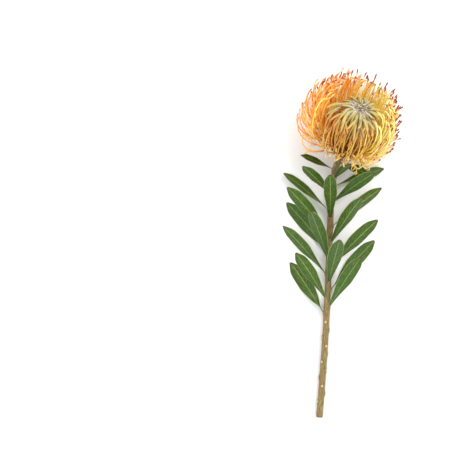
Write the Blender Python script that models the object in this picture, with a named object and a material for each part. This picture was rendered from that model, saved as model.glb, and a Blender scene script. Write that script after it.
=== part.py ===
"""A pincushion protea, one flower stem as cut, lying on a surface.

Units are metres. The surface is z = 0. The stem lies along Y with its cut end at -Y, and its neck
lifts the flower head at +Y, which rests on its lower styles.
"""

import math

import bmesh
import bpy
from mathutils import Vector

# The head. HEAD_CENTRE is the middle of the ball of style tips, and the axis points out of the crown.
HEAD_CENTRE = Vector((0.0130, 0.1328, 0.0530))
HEAD_RISE = math.radians(46)  # the axis above the surface
HEAD_TURN = math.radians(22)  # the axis to the right of +Y

# The receptacle is a narrow cone. Heights are along the head's axis, from HEAD_CENTRE.
CONE_TIP_HEIGHT = -0.0040
CONE_SLANT = 0.0360
CONE_FOOT_RADIUS = 0.0105
FOOT_HEIGHT = -0.0455  # where the stem takes over
FOOT_RADIUS = 0.0048
SEAT = 0.0003  # the gap that neighbouring pieces keep

# The florets stand on crossing spirals, numbered from the crown.
GOLDEN_ANGLE = math.radians(137.50776)
ROWS = 21
FLORETS_PER_ROW = 12
CROWN_FLORETS = ROWS
FLORETS = CROWN_FLORETS + ROWS * FLORETS_PER_ROW
FIRST_OPEN = CROWN_FLORETS + ROWS * 5
ROW_STEP = (ROWS * GOLDEN_ANGLE) % math.tau
STRIP_HEIGHT = 0.0008  # the strip that a row's florets are drawn out of
STRIP_HALF_WIDTH = 0.0016
PERIANTH_WIDTH = 0.0013
STYLE_WIDTH = 0.0009
PRESENTER_WIDTH = 0.0013
CORNERS = ((-1, 1), (1, 1), (1, -1), (-1, -1))  # across and towards the crown, around a floret

# Closed florets arch from the receptacle out to the dome, over its shoulder and in to the crown's dimple.
# Pairs are the innermost and the outermost.
CLOSED_TIP_RADII = (0.0012, 0.0088)
CLOSED_TIP_HEIGHTS = (0.0110, 0.0165)
CLOSED_FLANK = 0.0265  # how far the outermost is drawn out to the flank
CLOSED_SHOULDER = (0.0225, 0.0085)  # and out and up to the shoulder
CLOSED_GROWTH = 0.85  # the power by which both grow from the innermost
CLOSED_SWING = 0.20  # how far a floret turns around the axis, in radians

# On the side over the neck the florets open last. There the rest are looped too, down to the rim.
LATE_SIDE = math.radians(90)
LATE_EDGES = (0.45, 0.80)  # cosines of the angle from that side where this begins and is complete
LATE_TIP_START = (0.0180, 0.0192)  # over the crown's edge
LATE_TIP_SWEEP = (0.0175, -0.0170)  # and from there down the flank
LATE_SWEEP = math.radians(80)
LATE_FLANK = (0.0310, -0.0060)
LATE_SHOULDER = (0.0070, -0.0140)
LATE_DROP = 1.5  # the power by which the shoulder goes down

# Open florets' styles spread to the ball's outside. Pairs are the innermost and the outermost.
OPEN_TIP_RADII = (0.0380, 0.0545)
OPEN_TIP_HEIGHTS = (0.0200, -0.0290)
OPEN_START_ANGLES = (72, 104)  # degrees from the axis
OPEN_END_ANGLES = (6, 46)
OPEN_SWING = 0.10
OPEN_SWING_SCATTER = 0.05

# Where a style meets the surface it bends along it.
BEND_TOP = 0.0140
BEND_DEPTH = 0.0048
STYLE_REST = 0.00045
STYLE_LEAN = Vector((-0.001, 0.0120, 0.0))  # styles lean the way the shoot grew

# The stem, from its neck to its cut end.
STEM_RUN = 0.2900
STEM_RADIUS = 0.0037
STEM_NECK_RADIUS = 0.0033
STEM_NECK_LIE = 0.0085  # height of the stem's straight run, continued to the neck
STEM_STATIONS = 22
STEM_TURN = 0.036  # how far the neck takes to turn into the line of the stem
STEM_BOW = 0.0045

# The largest bracts. The shape holds radius, height and share of the full width, from foot to point.
BRACTS = 13
BRACT_SHAPE = (
    (0.0056, -0.0452, 0.55),
    (0.0098, -0.0430, 0.95),
    (0.0128, -0.0416, 0.85),
    (0.0152, -0.0412, 0.12),
)
BRACT_THICKNESS = 0.0009

# Leaves, numbered from the head down. Pairs are the uppermost leaves and the full-grown ones.
LEAVES = 20
FIRST_LEAF_RUN = 0.011
LEAF_SPACING = 0.0087
LEAF_LENGTHS = (0.034, 0.067)
LEAF_WIDTHS = (0.0095, 0.0150)
LEAF_SPREADS = (93, 36)  # degrees from the stem
LEAF_START = math.radians(112)  # where the uppermost leaf stands around the stem, from the top to the right
LEAF_THICKNESS = 0.0008
LEAF_REST = 0.5 * LEAF_THICKNESS
LEAF_FLAT = 0.0001  # a lower point than this lies flat on the surface
LEAF_STEPS = 8
LEAF_RECURVE = 3.0  # how quickly a leaf bends away from the stem, in radians a metre

COLOURS = {
    "stem": (0.23, 0.17, 0.07),
    "receptacle": (0.42, 0.36, 0.16),
    "crown": (0.55, 0.56, 0.34),
    "floret": (0.93, 0.50, 0.06),
    "bract": (0.30, 0.16, 0.10),
    "leaf": (0.09, 0.22, 0.04),
}

UP = Vector((0.0, 0.0, 1.0))
AXIS = Vector(
    (
        math.cos(HEAD_RISE) * math.sin(HEAD_TURN),
        math.cos(HEAD_RISE) * math.cos(HEAD_TURN),
        math.sin(HEAD_RISE),
    )
)
SIDE = AXIS.cross(UP).normalized()  # to the right, level
BACK = SIDE.cross(AXIS).normalized()  # up and back, over the neck


def mix(a, b, share):
    """The value a share of the way from a to b."""
    return a + (b - a) * share


def scatter(number, salt):
    """A fixed scatter between -1 and 1 for each floret or leaf."""
    return 2.0 * math.modf(abs(math.sin(number * 12.9898 + salt * 78.233)) * 437.5453)[0] - 1.0


def ease(share):
    """A share from 0 to 1 that starts and ends gently."""
    share = min(max(share, 0.0), 1.0)
    return share * share * (3.0 - 2.0 * share)


def outward(angle):
    """The direction away from the head's axis, at an angle around it."""
    return SIDE * math.cos(angle) + BACK * math.sin(angle)


def at_head(angle, radius, height):
    """A point beside the head's axis."""
    return HEAD_CENTRE + AXIS * height + outward(angle) * radius


def bezier(points, share):
    """A point on the curve that four control points guide."""
    a, b, c, d = points
    rest = 1.0 - share
    return a * rest**3 + b * (3 * rest * rest * share) + c * (3 * rest * share * share) + d * share**3


def onto_surface(point):
    """Moves a point of the head that would lie under the surface up to it, and splays it outwards."""
    if point.z >= BEND_TOP:
        return point
    depth = max((point.z + BEND_DEPTH) / (BEND_TOP + BEND_DEPTH), 0.0)
    slope = (BEND_TOP + BEND_DEPTH) / (BEND_TOP - STYLE_REST)
    height = STYLE_REST + (BEND_TOP - STYLE_REST) * depth**slope
    away = Vector((point.x - HEAD_CENTRE.x, point.y - HEAD_CENTRE.y, 0.0))
    splay = 0.5 * (height - point.z) * min(away.length / 0.02, 1.0)
    return Vector((point.x, point.y, height)) + away.normalized() * splay


def cone_place(slant_share):
    """Radius and height of a place on the receptacle, by its share of the way down the slant."""
    slant = CONE_SLANT * slant_share
    lean = math.asin(CONE_FOOT_RADIUS / CONE_SLANT)
    return slant * math.sin(lean), CONE_TIP_HEIGHT - slant * math.cos(lean)


def floret_seat(number):
    """Radius and height of a floret's foot. Each floret has the same share of the cone's area."""
    radius, height = cone_place(math.sqrt((number + 0.5) / FLORETS))
    return Vector((radius + SEAT, height))


def closed_place(number, share):
    """Radius and height along a crown or looped floret: out from its foot, up, and in over the shoulder."""
    rank = min((number + 0.5) / FIRST_OPEN, 1.0)
    foot = floret_seat(number)
    tip = Vector((mix(*CLOSED_TIP_RADII, rank), mix(*CLOSED_TIP_HEIGHTS, rank)))
    flank = Vector((CLOSED_FLANK, 0.0)) * rank**CLOSED_GROWTH
    shoulder = Vector(CLOSED_SHOULDER) * rank**CLOSED_GROWTH
    if number >= FIRST_OPEN:
        late = (number + 0.5 - FIRST_OPEN) / (FLORETS - FIRST_OPEN)
        down = 1.0 - math.cos(LATE_SWEEP * late)
        tip = Vector(LATE_TIP_START)
        tip += Vector((LATE_TIP_SWEEP[0] * math.sin(LATE_SWEEP * late), LATE_TIP_SWEEP[1] * down))
        flank = flank.lerp(Vector(LATE_FLANK), late)
        shoulder = shoulder.lerp(Vector(LATE_SHOULDER), late**LATE_DROP)
    return bezier((foot, foot + flank, tip + shoulder, tip), share)


def open_place(number, share):
    """Radius and height along an open floret's style: out, along and incurved."""
    rank = (number + 0.5 - FIRST_OPEN) / (FLORETS - FIRST_OPEN)
    foot = floret_seat(number)
    widening = math.sin(math.pi * min(0.62 * rank, 0.5))
    tip = Vector((mix(*OPEN_TIP_RADII, widening), mix(*OPEN_TIP_HEIGHTS, rank)))
    start = math.radians(mix(*OPEN_START_ANGLES, rank))
    end = math.radians(mix(*OPEN_END_ANGLES, rank))
    reach = (tip - foot).length
    out = foot + Vector((math.sin(start), math.cos(start))) * reach * 0.50
    over = tip - Vector((math.sin(end), math.cos(end))) * reach * 0.36
    return bezier((foot, out, over, tip), share)


def is_open(number):
    """Whether a floret has opened: from the rim inwards, and last on the side over the neck."""
    begin, end = LATE_EDGES
    late = ease((math.cos(number * GOLDEN_ANGLE - LATE_SIDE) - begin) / (end - begin))
    return number >= mix(FIRST_OPEN, FLORETS, late)


def floret_centre(number, angle, share):
    """The middle of a floret at a share of its length, and its distance from the head's axis."""
    if not is_open(number):
        place, lean, swing = closed_place(number, share), 0.0, CLOSED_SWING
    else:
        place, lean = open_place(number, share), 1.0
        swing = OPEN_SWING + OPEN_SWING_SCATTER * scatter(number, 1)
    point = at_head(angle + swing * share * share, *place)
    return onto_surface(point + STYLE_LEAN * (lean * share * share)), place.x


def new_object(name, bm, colour):
    """Makes the named object from a finished bmesh, with its own material."""
    bmesh.ops.recalc_face_normals(bm, faces=bm.faces)
    mesh = bpy.data.meshes.new(name)
    bm.to_mesh(mesh)
    bm.free()
    mesh.shade_smooth()
    mesh.set_sharp_from_angle(angle=math.radians(50))
    material = bpy.data.materials.new(name)
    material.use_nodes = True
    surface = material.node_tree.nodes["Principled BSDF"]
    surface.inputs["Base Color"].default_value = (*COLOURS[colour], 1.0)
    surface.inputs["Roughness"].default_value = 0.55
    mesh.materials.append(material)
    thing = bpy.data.objects.new(name, mesh)
    bpy.context.scene.collection.objects.link(thing)
    return thing


def grow(bm, face, rings):
    """Extrudes a face from ring to ring. Its corners keep their order."""
    for ring in rings:
        made = bmesh.ops.extrude_discrete_faces(bm, faces=[face])
        face = made["faces"][0]
        moved = [loop.vert for loop in face.loops]
        for vert, place in zip(moved, ring, strict=True):
            vert.co = place
    return face


def closed_bar(bm, rings):
    """A closed bar through rings of points, capped at both ends."""
    face = bm.faces.new([bm.verts.new(place) for place in rings[0]])
    made = bmesh.ops.extrude_face_region(bm, geom=[face])
    moved = [item for item in made["geom"] if isinstance(item, bmesh.types.BMFace)][0]
    for vert, place in zip([loop.vert for loop in moved.loops], rings[1], strict=True):
        vert.co = place
    return grow(bm, moved, rings[2:])


def floret_rings(number, angle, steps):
    """Four-cornered rings up one floret: a perianth at the foot, a thinner style, a thicker tip."""
    places = [floret_centre(number, angle, step / steps) for step in range(steps + 1)]
    across = outward(angle).cross(AXIS)
    rings = []
    for step in range(1, steps + 1):
        centre, radius = places[step]
        along = (places[min(step + 1, steps)][0] - places[step - 1][0]).normalized()
        level = (across - along * across.dot(along)).normalized()
        over = level.cross(along)
        width = STYLE_WIDTH
        if step == 1 or number < CROWN_FLORETS:
            width = PERIANTH_WIDTH
        if step == steps and is_open(number):
            width = PRESENTER_WIDTH
        half = 0.5 * min(width, 0.55 * math.tau * radius / ROWS)
        corners = [centre + level * (a * half) + over * (b * half) for a, b in CORNERS]
        rings.append([Vector((p.x, p.y, max(p.z, 0.0))) for p in corners])
    return rings


def row_ring(row, along_row, lift):
    """The two corners of a row's strip at a place along it, lifted off the receptacle."""
    number = row + ROWS * along_row
    angle = row * GOLDEN_ANGLE + along_row * ROW_STEP
    seat = floret_seat(number)
    half = min(STRIP_HALF_WIDTH, 0.30 * math.tau * seat.x / ROWS)
    turn = half / seat.x
    height = seat.y + lift * CONE_FOOT_RADIUS / CONE_SLANT
    return [at_head(angle + side * turn, seat.x + lift, height) for side in (-1, 1)]


def floret_row(row):
    """One spiral row: a thin strip on the receptacle, and a floret drawn out of each length of it."""
    bm = bmesh.new()
    joints = [k + 0.5 for k in range(FLORETS_PER_ROW + 1)]
    low = [[bm.verts.new(place) for place in row_ring(row, joint, 0.0)] for joint in joints]
    high = [[bm.verts.new(place) for place in row_ring(row, joint, STRIP_HEIGHT)] for joint in joints]
    tops = []
    for k in range(FLORETS_PER_ROW):
        bm.faces.new((low[k][0], low[k][1], low[k + 1][1], low[k + 1][0]))
        bm.faces.new((low[k][0], low[k + 1][0], high[k + 1][0], high[k][0]))
        bm.faces.new((low[k][1], high[k][1], high[k + 1][1], low[k + 1][1]))
        tops.append(bm.faces.new((high[k][0], high[k][1], high[k + 1][1], high[k + 1][0])))
    bm.faces.new((low[0][0], high[0][0], high[0][1], low[0][1]))
    bm.faces.new((low[-1][0], low[-1][1], high[-1][1], high[-1][0]))
    for k, face in enumerate(tops, start=1):
        number = row + ROWS * k
        angle = row * GOLDEN_ANGLE + k * ROW_STEP
        grow(bm, face, floret_rings(number, angle, 4 if is_open(number) else 6))
    return new_object(f"floret_row_{row + 1:02d}", bm, "floret")


def crown_florets():
    """The closed florets in the middle of the crown, standing on one cap over the receptacle's tip."""
    bm = bmesh.new()
    sides = CROWN_FLORETS // 2
    loops = []
    for share, lift in ((0.03, SEAT), (0.19, SEAT), (0.19, 0.0011), (0.125, 0.0013), (0.06, 0.0016)):
        radius, height = cone_place(share)
        ring = [at_head(math.tau * side / sides, radius + lift, height) for side in range(sides)]
        loops.append([bm.verts.new(place) for place in ring])
    bands = []
    for lower, upper in zip(loops, loops[1:], strict=False):
        pairs = [(lower[s], upper[s], upper[(s + 1) % sides], lower[(s + 1) % sides]) for s in range(sides)]
        bands.append([bm.faces.new((b, c, d, a)) for a, b, c, d in pairs])
    bm.faces.new(loops[0])
    top = bm.faces.new(loops[-1])
    for band, number in ((bands[2], 14), (bands[3], 6)):
        for side, face in enumerate(band):
            grow(bm, face, floret_rings(number, math.tau * (side + 0.5) / sides, 3))
    flat = [vert.co.copy() for vert in top.verts]
    middle = sum(flat, Vector()) / sides
    middle_rings = []
    for height, share in ((0.006, 0.8), (0.014, 0.4)):
        middle_rings.append([HEAD_CENTRE + AXIS * height + (place - middle) * share for place in flat])
    grow(bm, top, middle_rings)
    return new_object("crown_florets", bm, "crown")


def receptacle():
    """The cone that carries the florets, with the foot that narrows to the stem."""
    bm = bmesh.new()
    profile = [(FOOT_RADIUS, FOOT_HEIGHT), (0.0088, -0.0425)]
    profile += [cone_place(share) for share in (1.03, 0.8, 0.5, 0.25, 0.08)]
    sides = 20
    rings = []
    for radius, height in profile:
        rings.append([at_head(math.tau * side / sides, radius, height) for side in range(sides)])
    closed_bar(bm, rings)
    return new_object("receptacle", bm, "receptacle")


def stem_place(run):
    """The middle of the stem at a distance along Y behind its neck."""
    neck = HEAD_CENTRE + AXIS * (FOOT_HEIGHT - SEAT)
    line = mix(STEM_NECK_LIE, STEM_RADIUS, run / STEM_RUN)
    drop = math.tan(HEAD_RISE) / math.cos(HEAD_TURN)
    settle = (neck.z - STEM_NECK_LIE) / drop
    z = line + (neck.z - STEM_NECK_LIE) * math.exp(-run / settle)
    x = neck.x - math.tan(HEAD_TURN) * STEM_TURN * (1.0 - math.exp(-run / STEM_TURN))
    x += STEM_BOW * math.sin(math.pi * run / STEM_RUN) * ease(run / 0.08)
    return Vector((x, neck.y - run, z))


def stem_run(station):
    """The distance along Y of a station, closer together at the bent neck."""
    return STEM_RUN * (station / (STEM_STATIONS - 1)) ** 1.7


def stem_radius(run):
    """The stem is a little stouter at its cut end, and swells into the receptacle."""
    plain = mix(STEM_NECK_RADIUS, STEM_RADIUS, run / STEM_RUN)
    return plain + (FOOT_RADIUS - STEM_NECK_RADIUS) * math.exp(-run / 0.004)


def stem_along(run):
    """The direction of the stem towards the head."""
    step = 0.0005
    return (stem_place(run - step) - stem_place(run + step)).normalized()


def stem():
    """The shoot as a bar of eight sides, flat at its cut end."""
    bm = bmesh.new()
    sides = 8
    rings = []
    for station in range(STEM_STATIONS):
        run = stem_run(station)
        along = AXIS if station == 0 else stem_along(run)
        across = along.cross(UP).normalized()
        over = across.cross(along)
        ring = []
        for side in range(sides):
            angle = math.tau * (side + 0.5) / sides
            reach = stem_radius(run) / math.cos(math.pi / sides)
            place = stem_place(run) + (across * math.cos(angle) + over * math.sin(angle)) * reach
            ring.append(Vector((place.x, place.y, max(place.z, 0.0))))
        rings.append(ring)
    closed_bar(bm, rings)
    return new_object("stem", bm, "stem")


def bract(number):
    """One pointed scale that hugs the foot of the head."""
    bm = bmesh.new()
    angle = math.tau * number / BRACTS
    half = 0.42 * math.tau / BRACTS
    rings = []
    for radius, height, share in BRACT_SHAPE:
        ring = []
        for side, lift in ((-1, 0.0), (1, 0.0), (1, BRACT_THICKNESS), (-1, BRACT_THICKNESS)):
            away = (SEAT + lift) / math.sqrt(2)
            ring.append(at_head(angle + side * half * share, radius + away, height - away))
        rings.append(ring)
    closed_bar(bm, rings)
    return new_object(f"bract_{number + 1:02d}", bm, "bract")


def leaf_facts(number):
    """Where a leaf sits on the stem, the way it points, its spread, length and width."""
    run = FIRST_LEAF_RUN + LEAF_SPACING * number
    turned = math.remainder(LEAF_START + number * GOLDEN_ANGLE, math.tau)
    around = turned * mix(0.55, 0.66, ease(run / 0.085))
    spread = math.radians(mix(*reversed(LEAF_SPREADS), math.exp(-run / 0.050)) + 4 * scatter(number, 2))
    length = mix(*LEAF_LENGTHS, ease(run / 0.07)) * (1.0 + 0.07 * scatter(number, 3))
    width = mix(*LEAF_WIDTHS, ease(run / 0.09)) * (1.0 + 0.08 * scatter(number, 4))
    return run, around, spread, length, width


def leaf_widths(share):
    """A leaf's width along it, as a share of its greatest: narrow foot, oblong, blunt tip."""
    return max(0.16, min(1.0, 0.22 + 1.5 * share) * math.sqrt(max(1.0 - share**7, 0.0)))


def turned_to_clear(blade, direction, room):
    """The line across a blade, levelled as far as it must be for its lower edge to clear the surface."""
    blade = (blade - direction * blade.dot(direction)).normalized()
    if abs(blade.z) <= room:
        return blade
    level = direction.cross(UP).normalized()
    if level.dot(blade) < 0.0:
        level.negate()
    return level * math.sqrt(1.0 - room**2) + UP * math.copysign(room, blade.z)


def kept_off_surface(direction, height, stride):
    """A leaf's direction, bent along the surface where its next stride would go under it."""
    if height + direction.z * stride >= LEAF_REST:
        return direction
    sink = (LEAF_REST - height) / stride
    level = Vector((direction.x, direction.y, 0.0)).normalized()
    return level * math.sqrt(max(1.0 - sink**2, 0.0)) + UP * sink


def leaf(number):
    """A leaf as a thin folded blade that follows the surface where it would go under it."""
    run, around, spread, length, width = leaf_facts(number)
    along = stem_along(run)
    across = along.cross(UP).normalized()
    over = across.cross(along)
    away = across * math.sin(around) + over * math.cos(around)
    direction = along * math.cos(spread) + away * math.sin(spread)
    blade = along.cross(away).normalized()
    point = stem_place(run) + away * (stem_radius(run) + SEAT + 0.0004)
    point.z = max(point.z, LEAF_REST)
    stride = length / LEAF_STEPS
    rings = []
    for step in range(LEAF_STEPS + 1):
        share = step / LEAF_STEPS
        half = 0.5 * width * leaf_widths(share)
        room = min(max(point.z - LEAF_REST, 0.0) / half, 1.0)
        blade = turned_to_clear(blade, direction, room)
        normal = direction.cross(blade).normalized()
        fold = normal * min(0.10 * half, max(point.z - LEAF_REST, 0.0))
        thick = normal * (-0.5 * LEAF_THICKNESS)
        left, right = point - blade * half + fold, point + blade * half + fold
        ring = [left + thick, point + thick, right + thick, right - thick, point - thick, left - thick]
        rings.append([Vector((p.x, p.y, p.z if p.z > LEAF_FLAT else 0.0)) for p in ring])
        direction = (direction - along * (LEAF_RECURVE * stride * (0.4 + share))).normalized()
        direction = kept_off_surface(direction, point.z, stride)
        point = point + direction * stride
    bm = bmesh.new()
    closed_bar(bm, rings)
    return new_object(f"leaf_{number + 1:02d}", bm, "leaf")


for old in list(bpy.data.objects):
    bpy.data.objects.remove(old, do_unlink=True)

stem()
receptacle()
crown_florets()
for row in range(ROWS):
    floret_row(row)
for number in range(BRACTS):
    bract(number)
for number in range(LEAVES):
    leaf(number)
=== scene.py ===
import functools
import math

import bmesh
import bpy
import numpy as np
from mathutils import Matrix, Vector


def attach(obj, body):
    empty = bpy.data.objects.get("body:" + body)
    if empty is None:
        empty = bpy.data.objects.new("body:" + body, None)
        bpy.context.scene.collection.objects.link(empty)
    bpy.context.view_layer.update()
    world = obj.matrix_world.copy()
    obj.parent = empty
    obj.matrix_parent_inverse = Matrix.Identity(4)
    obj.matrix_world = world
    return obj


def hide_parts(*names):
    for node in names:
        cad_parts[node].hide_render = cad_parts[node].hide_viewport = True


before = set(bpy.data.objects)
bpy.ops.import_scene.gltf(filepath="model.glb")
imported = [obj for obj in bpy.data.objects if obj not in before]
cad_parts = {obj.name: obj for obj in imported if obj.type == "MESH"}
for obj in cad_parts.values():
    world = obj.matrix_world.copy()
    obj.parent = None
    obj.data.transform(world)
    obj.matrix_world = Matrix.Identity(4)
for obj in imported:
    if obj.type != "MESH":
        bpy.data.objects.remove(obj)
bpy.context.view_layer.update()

# ---- Receptacle -----------------------------------------------------------------------------------
# The shoot ends in a woody cone, the receptacle, and every floret stands on it. Only dull green wood
# between the florets' feet can be seen of it, so it keeps its built shape and gets its own finish.


def shade(red, green, blue):
    """A colour as the eye names it, 0 to 255 a channel, as the linear colour that a shader takes."""
    channels = [channel / 255.0 for channel in (red, green, blue)]
    return (*[c / 12.92 if c <= 0.04045 else ((c + 0.055) / 1.055) ** 2.4 for c in channels], 1.0)


def add(tree, kind, inputs, **settings):
    """Adds a node. Its inputs are set, or linked where the value is another node's socket."""
    node = tree.nodes.new(kind)
    for key, value in settings.items():
        setattr(node, key, value)
    for key, value in inputs.items():
        if isinstance(value, bpy.types.NodeSocket):
            tree.links.new(value, node.inputs[key])
        else:
            node.inputs[key].default_value = value
    return node


def math_node(tree, operation, first, second=0.0):
    """The result of one sum on two values."""
    return add(tree, "ShaderNodeMath", {0: first, 1: second}, operation=operation).outputs[0]


def product(tree, first, second):
    """Two values multiplied."""
    return math_node(tree, "MULTIPLY", first, second)


def span(tree, value, low, high, to_low=0.0, to_high=1.0):
    """A value mapped from one range to another, and kept inside it."""
    inputs = {"Value": value, "From Min": low, "From Max": high, "To Min": to_low, "To Max": to_high}
    return add(tree, "ShaderNodeMapRange", inputs).outputs["Result"]


def blended(tree, factor, first, second):
    """Two colours mixed by a factor. The node's colours are its sockets 6 and 7, and 2 comes out."""
    return add(tree, "ShaderNodeMix", {0: factor, 6: first, 7: second}, data_type="RGBA").outputs[2]


def ramp(tree, factor, stops):
    """A colour read off a row of stops. Each is a place from 0 to 1, and its red, green and blue."""
    node = add(tree, "ShaderNodeValToRGB", {"Fac": factor})
    elements = node.color_ramp.elements
    first, *others, last = [(place, shade(*colour)) for place, *colour in stops]
    elements[0].position, elements[0].color = first
    elements[1].position, elements[1].color = last
    for place, colour in others:
        elements.new(place).color = colour
    return node.outputs["Color"]


def layered(tree, colour, *layers):
    """A colour with others laid over it. Each is a mask, and its red, green and blue."""
    for mask, *over in layers:
        colour = blended(tree, mask, colour, shade(*over))
    return colour


def noise(tree, vector, scale, detail=2.0, rough=0.5):
    """Soft noise from 0 to 1."""
    inputs = {"Vector": vector, "Scale": scale, "Detail": detail, "Roughness": rough}
    return add(tree, "ShaderNodeTexNoise", inputs).outputs["Fac"]


def object_place(tree):
    """The place on the piece, in metres."""
    return add(tree, "ShaderNodeTexCoord", {}).outputs["Object"]


def new_group(name, inputs, output):
    """An empty node group with named inputs, and one output that is a number."""
    tree = bpy.data.node_groups.new(name, "ShaderNodeTree")
    for socket, kind in inputs.items():
        tree.interface.new_socket(socket, in_out="INPUT", socket_type=kind)
    tree.interface.new_socket(output, in_out="OUTPUT", socket_type="NodeSocketFloat")
    return tree, tree.nodes.new("NodeGroupInput").outputs, tree.nodes.new("NodeGroupOutput")


def down_group():
    """Short down: pale specks and hairs, a fraction of a millimetre, thick in patches."""
    inputs = {"Vector": "NodeSocketVector", "Scale": "NodeSocketFloat"}
    tree, given, result = new_group("down", inputs, "Mask")
    fine = noise(tree, given["Vector"], given["Scale"], 1.0)
    patches = noise(tree, given["Vector"], product(tree, given["Scale"], 0.12))
    both = product(tree, span(tree, fine, 0.46, 0.66), span(tree, patches, 0.30, 0.62))
    tree.links.new(both, result.inputs["Mask"])
    return tree


DOWN = down_group()


def down(tree, scale=5200.0):
    """The mask of the down group, placed in a material."""
    inputs = {"Vector": object_place(tree), "Scale": scale}
    return add(tree, "ShaderNodeGroup", inputs, node_tree=DOWN).outputs["Mask"]


def new_finish(name, roughness, sheen=0.0, gloss=0.5):
    """A material with its own even roughness, down and gloss. Returns it with its nodes."""
    made = bpy.data.materials.new(name)
    made.use_nodes = True
    surface = made.node_tree.nodes["Principled BSDF"]
    surface.inputs["Roughness"].default_value = roughness
    surface.inputs["Sheen Weight"].default_value = sheen
    surface.inputs["Specular IOR Level"].default_value = gloss
    return made, made.node_tree


def covered(made, colour, height, strength, depth, roughness=None):
    """Gives a material its colour, its relief and, where it isn't even, its roughness."""
    tree = made.node_tree
    relief = {"Height": height, "Strength": strength, "Distance": depth}
    inputs = {"Base Color": colour, "Normal": add(tree, "ShaderNodeBump", relief).outputs["Normal"]}
    if roughness is not None:
        inputs["Roughness"] = roughness
    for name, value in inputs.items():
        tree.links.new(value, tree.nodes["Principled BSDF"].inputs[name])
    return made


def receptacle_wood():
    """Dull green-brown wood with grey down."""
    made, tree = new_finish("receptacle_wood", 0.85, sheen=0.3)
    mottle = noise(tree, object_place(tree), 600.0, 3.0)
    wood = ramp(tree, mottle, [(0.3, 70, 52, 22), (0.7, 128, 108, 52)])
    colour = layered(tree, wood, (down(tree, 5000.0), 188, 178, 140))
    return covered(made, colour, mottle, 0.5, 0.0004)


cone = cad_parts["receptacle"]
cone.data.materials.clear()
cone.data.materials.append(receptacle_wood())

# ---- Stem -----------------------------------------------------------------------------------------
# The cut shoot is woody: a thin olive bark that reddens in the light, ribbed lengthwise, with a small
# cushion under each leaf. Its end is sawn square and shows a ring of bark, pale wood and the pith.
UP = Vector((0.0, 0.0, 1.0))
SEAT = 0.0003  # the gap that neighbouring pieces keep
FOOT_HEIGHT = -0.0455  # the cone's foot, along the head's axis from the middle of the ball of styles
STEM_RUN = 0.2900
STEM_RADIUS = 0.0037
STEM_NECK_RADIUS = 0.0033
STEM_NECK_LIE = 0.0085  # height of the stem's straight run, continued to the neck
STEM_TURN = 0.036  # how far the neck takes to turn into the line of the stem
STEM_BOW = 0.0045
STEM_BOW_RUN = 0.08  # what the bow takes to start, behind the neck
FOOT_RADIUS = 0.0048
FOOT_SWELL_RUN = 0.004  # what the swelling under the cone takes to fade
STEM_SIDES = 22
STEM_STEPS = 190
STEM_OVERLAP = 0.0006  # how far the bark runs up under the bracts
GOLDEN_ANGLE = math.radians(137.50776)
LEAVES = 20
FIRST_LEAF_RUN = 0.011
LEAF_SPACING = 0.0087
LEAF_START = math.radians(112)  # where the uppermost leaf stands around the stem, from the top
LEAF_TURNS = (0.55, 0.66)  # how much of its turn a leaf keeps, at the neck and low, to clear the surface
LEAF_TURNS_RUN = 0.085
STRIPPED = 11  # leaves that were stripped off below the others
CUSHION_HEIGHT = 0.0011
CUSHION_SPREAD = 0.0026
CUSHION_BELOW = 0.4  # how far behind its leaf a cushion is highest, in spreads
CUSHION_REACH = 3.0  # where it has faded out, in spreads
CUT_RINGS = ((0.00035, 0.86), (0.0019, 0.25), (0.0008, 0.05))  # how far each is inset, and its value
BAR_SIDE_SHARE = 0.93  # how much of a bar's map its sides fill, below its two ends
BAR_END_HEIGHT = 0.97  # where the two ends lie in the map
BAR_END_SIZE = (0.2, 0.022)
MAP_SIDES = (0.04, 0.96)  # the part of its strip of the map that a bar fills, across and along
MAP_ENDS = (0.01, 0.99)


def head_frame(cone):
    """The middle of the ball of styles and the head's axis, from the cone's rings of points."""
    places = np.unique([vert.co.to_tuple(6) for vert in cone.data.vertices], axis=0)
    middle = Vector(places.mean(axis=0))
    axis = Vector(np.linalg.svd(places - places.mean(axis=0))[2][0])
    if axis.z < 0.0:
        axis.negate()
    foot = min(axis.dot(Vector(place) - middle) for place in places)
    return middle + axis * (foot - FOOT_HEIGHT), axis


HEAD_CENTRE, AXIS = head_frame(cone)


def mix(a, b, share):
    """The value a share of the way from a to b."""
    return a + (b - a) * share


def ease(share):
    """A share from 0 to 1 that starts and ends gently."""
    share = min(max(share, 0.0), 1.0)
    return share * share * (3.0 - 2.0 * share)


def stem_place(run):
    """The middle of the stem at a distance along Y behind its neck."""
    neck = HEAD_CENTRE + AXIS * (FOOT_HEIGHT - SEAT)
    line = mix(STEM_NECK_LIE, STEM_RADIUS, run / STEM_RUN)
    drop = AXIS.z / AXIS.y
    settle = (neck.z - STEM_NECK_LIE) / drop
    z = line + (neck.z - STEM_NECK_LIE) * math.exp(-run / settle)
    x = neck.x - AXIS.x / AXIS.y * STEM_TURN * (1.0 - math.exp(-run / STEM_TURN))
    x += STEM_BOW * math.sin(math.pi * run / STEM_RUN) * ease(run / STEM_BOW_RUN)
    return Vector((x, neck.y - run, z))


def stem_radius(run):
    """The stem is a little stouter at its cut end, and swells into the receptacle."""
    plain = mix(STEM_NECK_RADIUS, STEM_RADIUS, run / STEM_RUN)
    return plain + (FOOT_RADIUS - STEM_NECK_RADIUS) * math.exp(-run / FOOT_SWELL_RUN)


def stem_along(run):
    """The direction of the stem towards the head."""
    step = 0.0005
    return (stem_place(run - step) - stem_place(run + step)).normalized()


def stem_side(along, around):
    """The direction straight out of the stem, at an angle around it from the top."""
    across = along.cross(UP).normalized()
    return across * math.sin(around) + across.cross(along) * math.cos(around)


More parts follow.
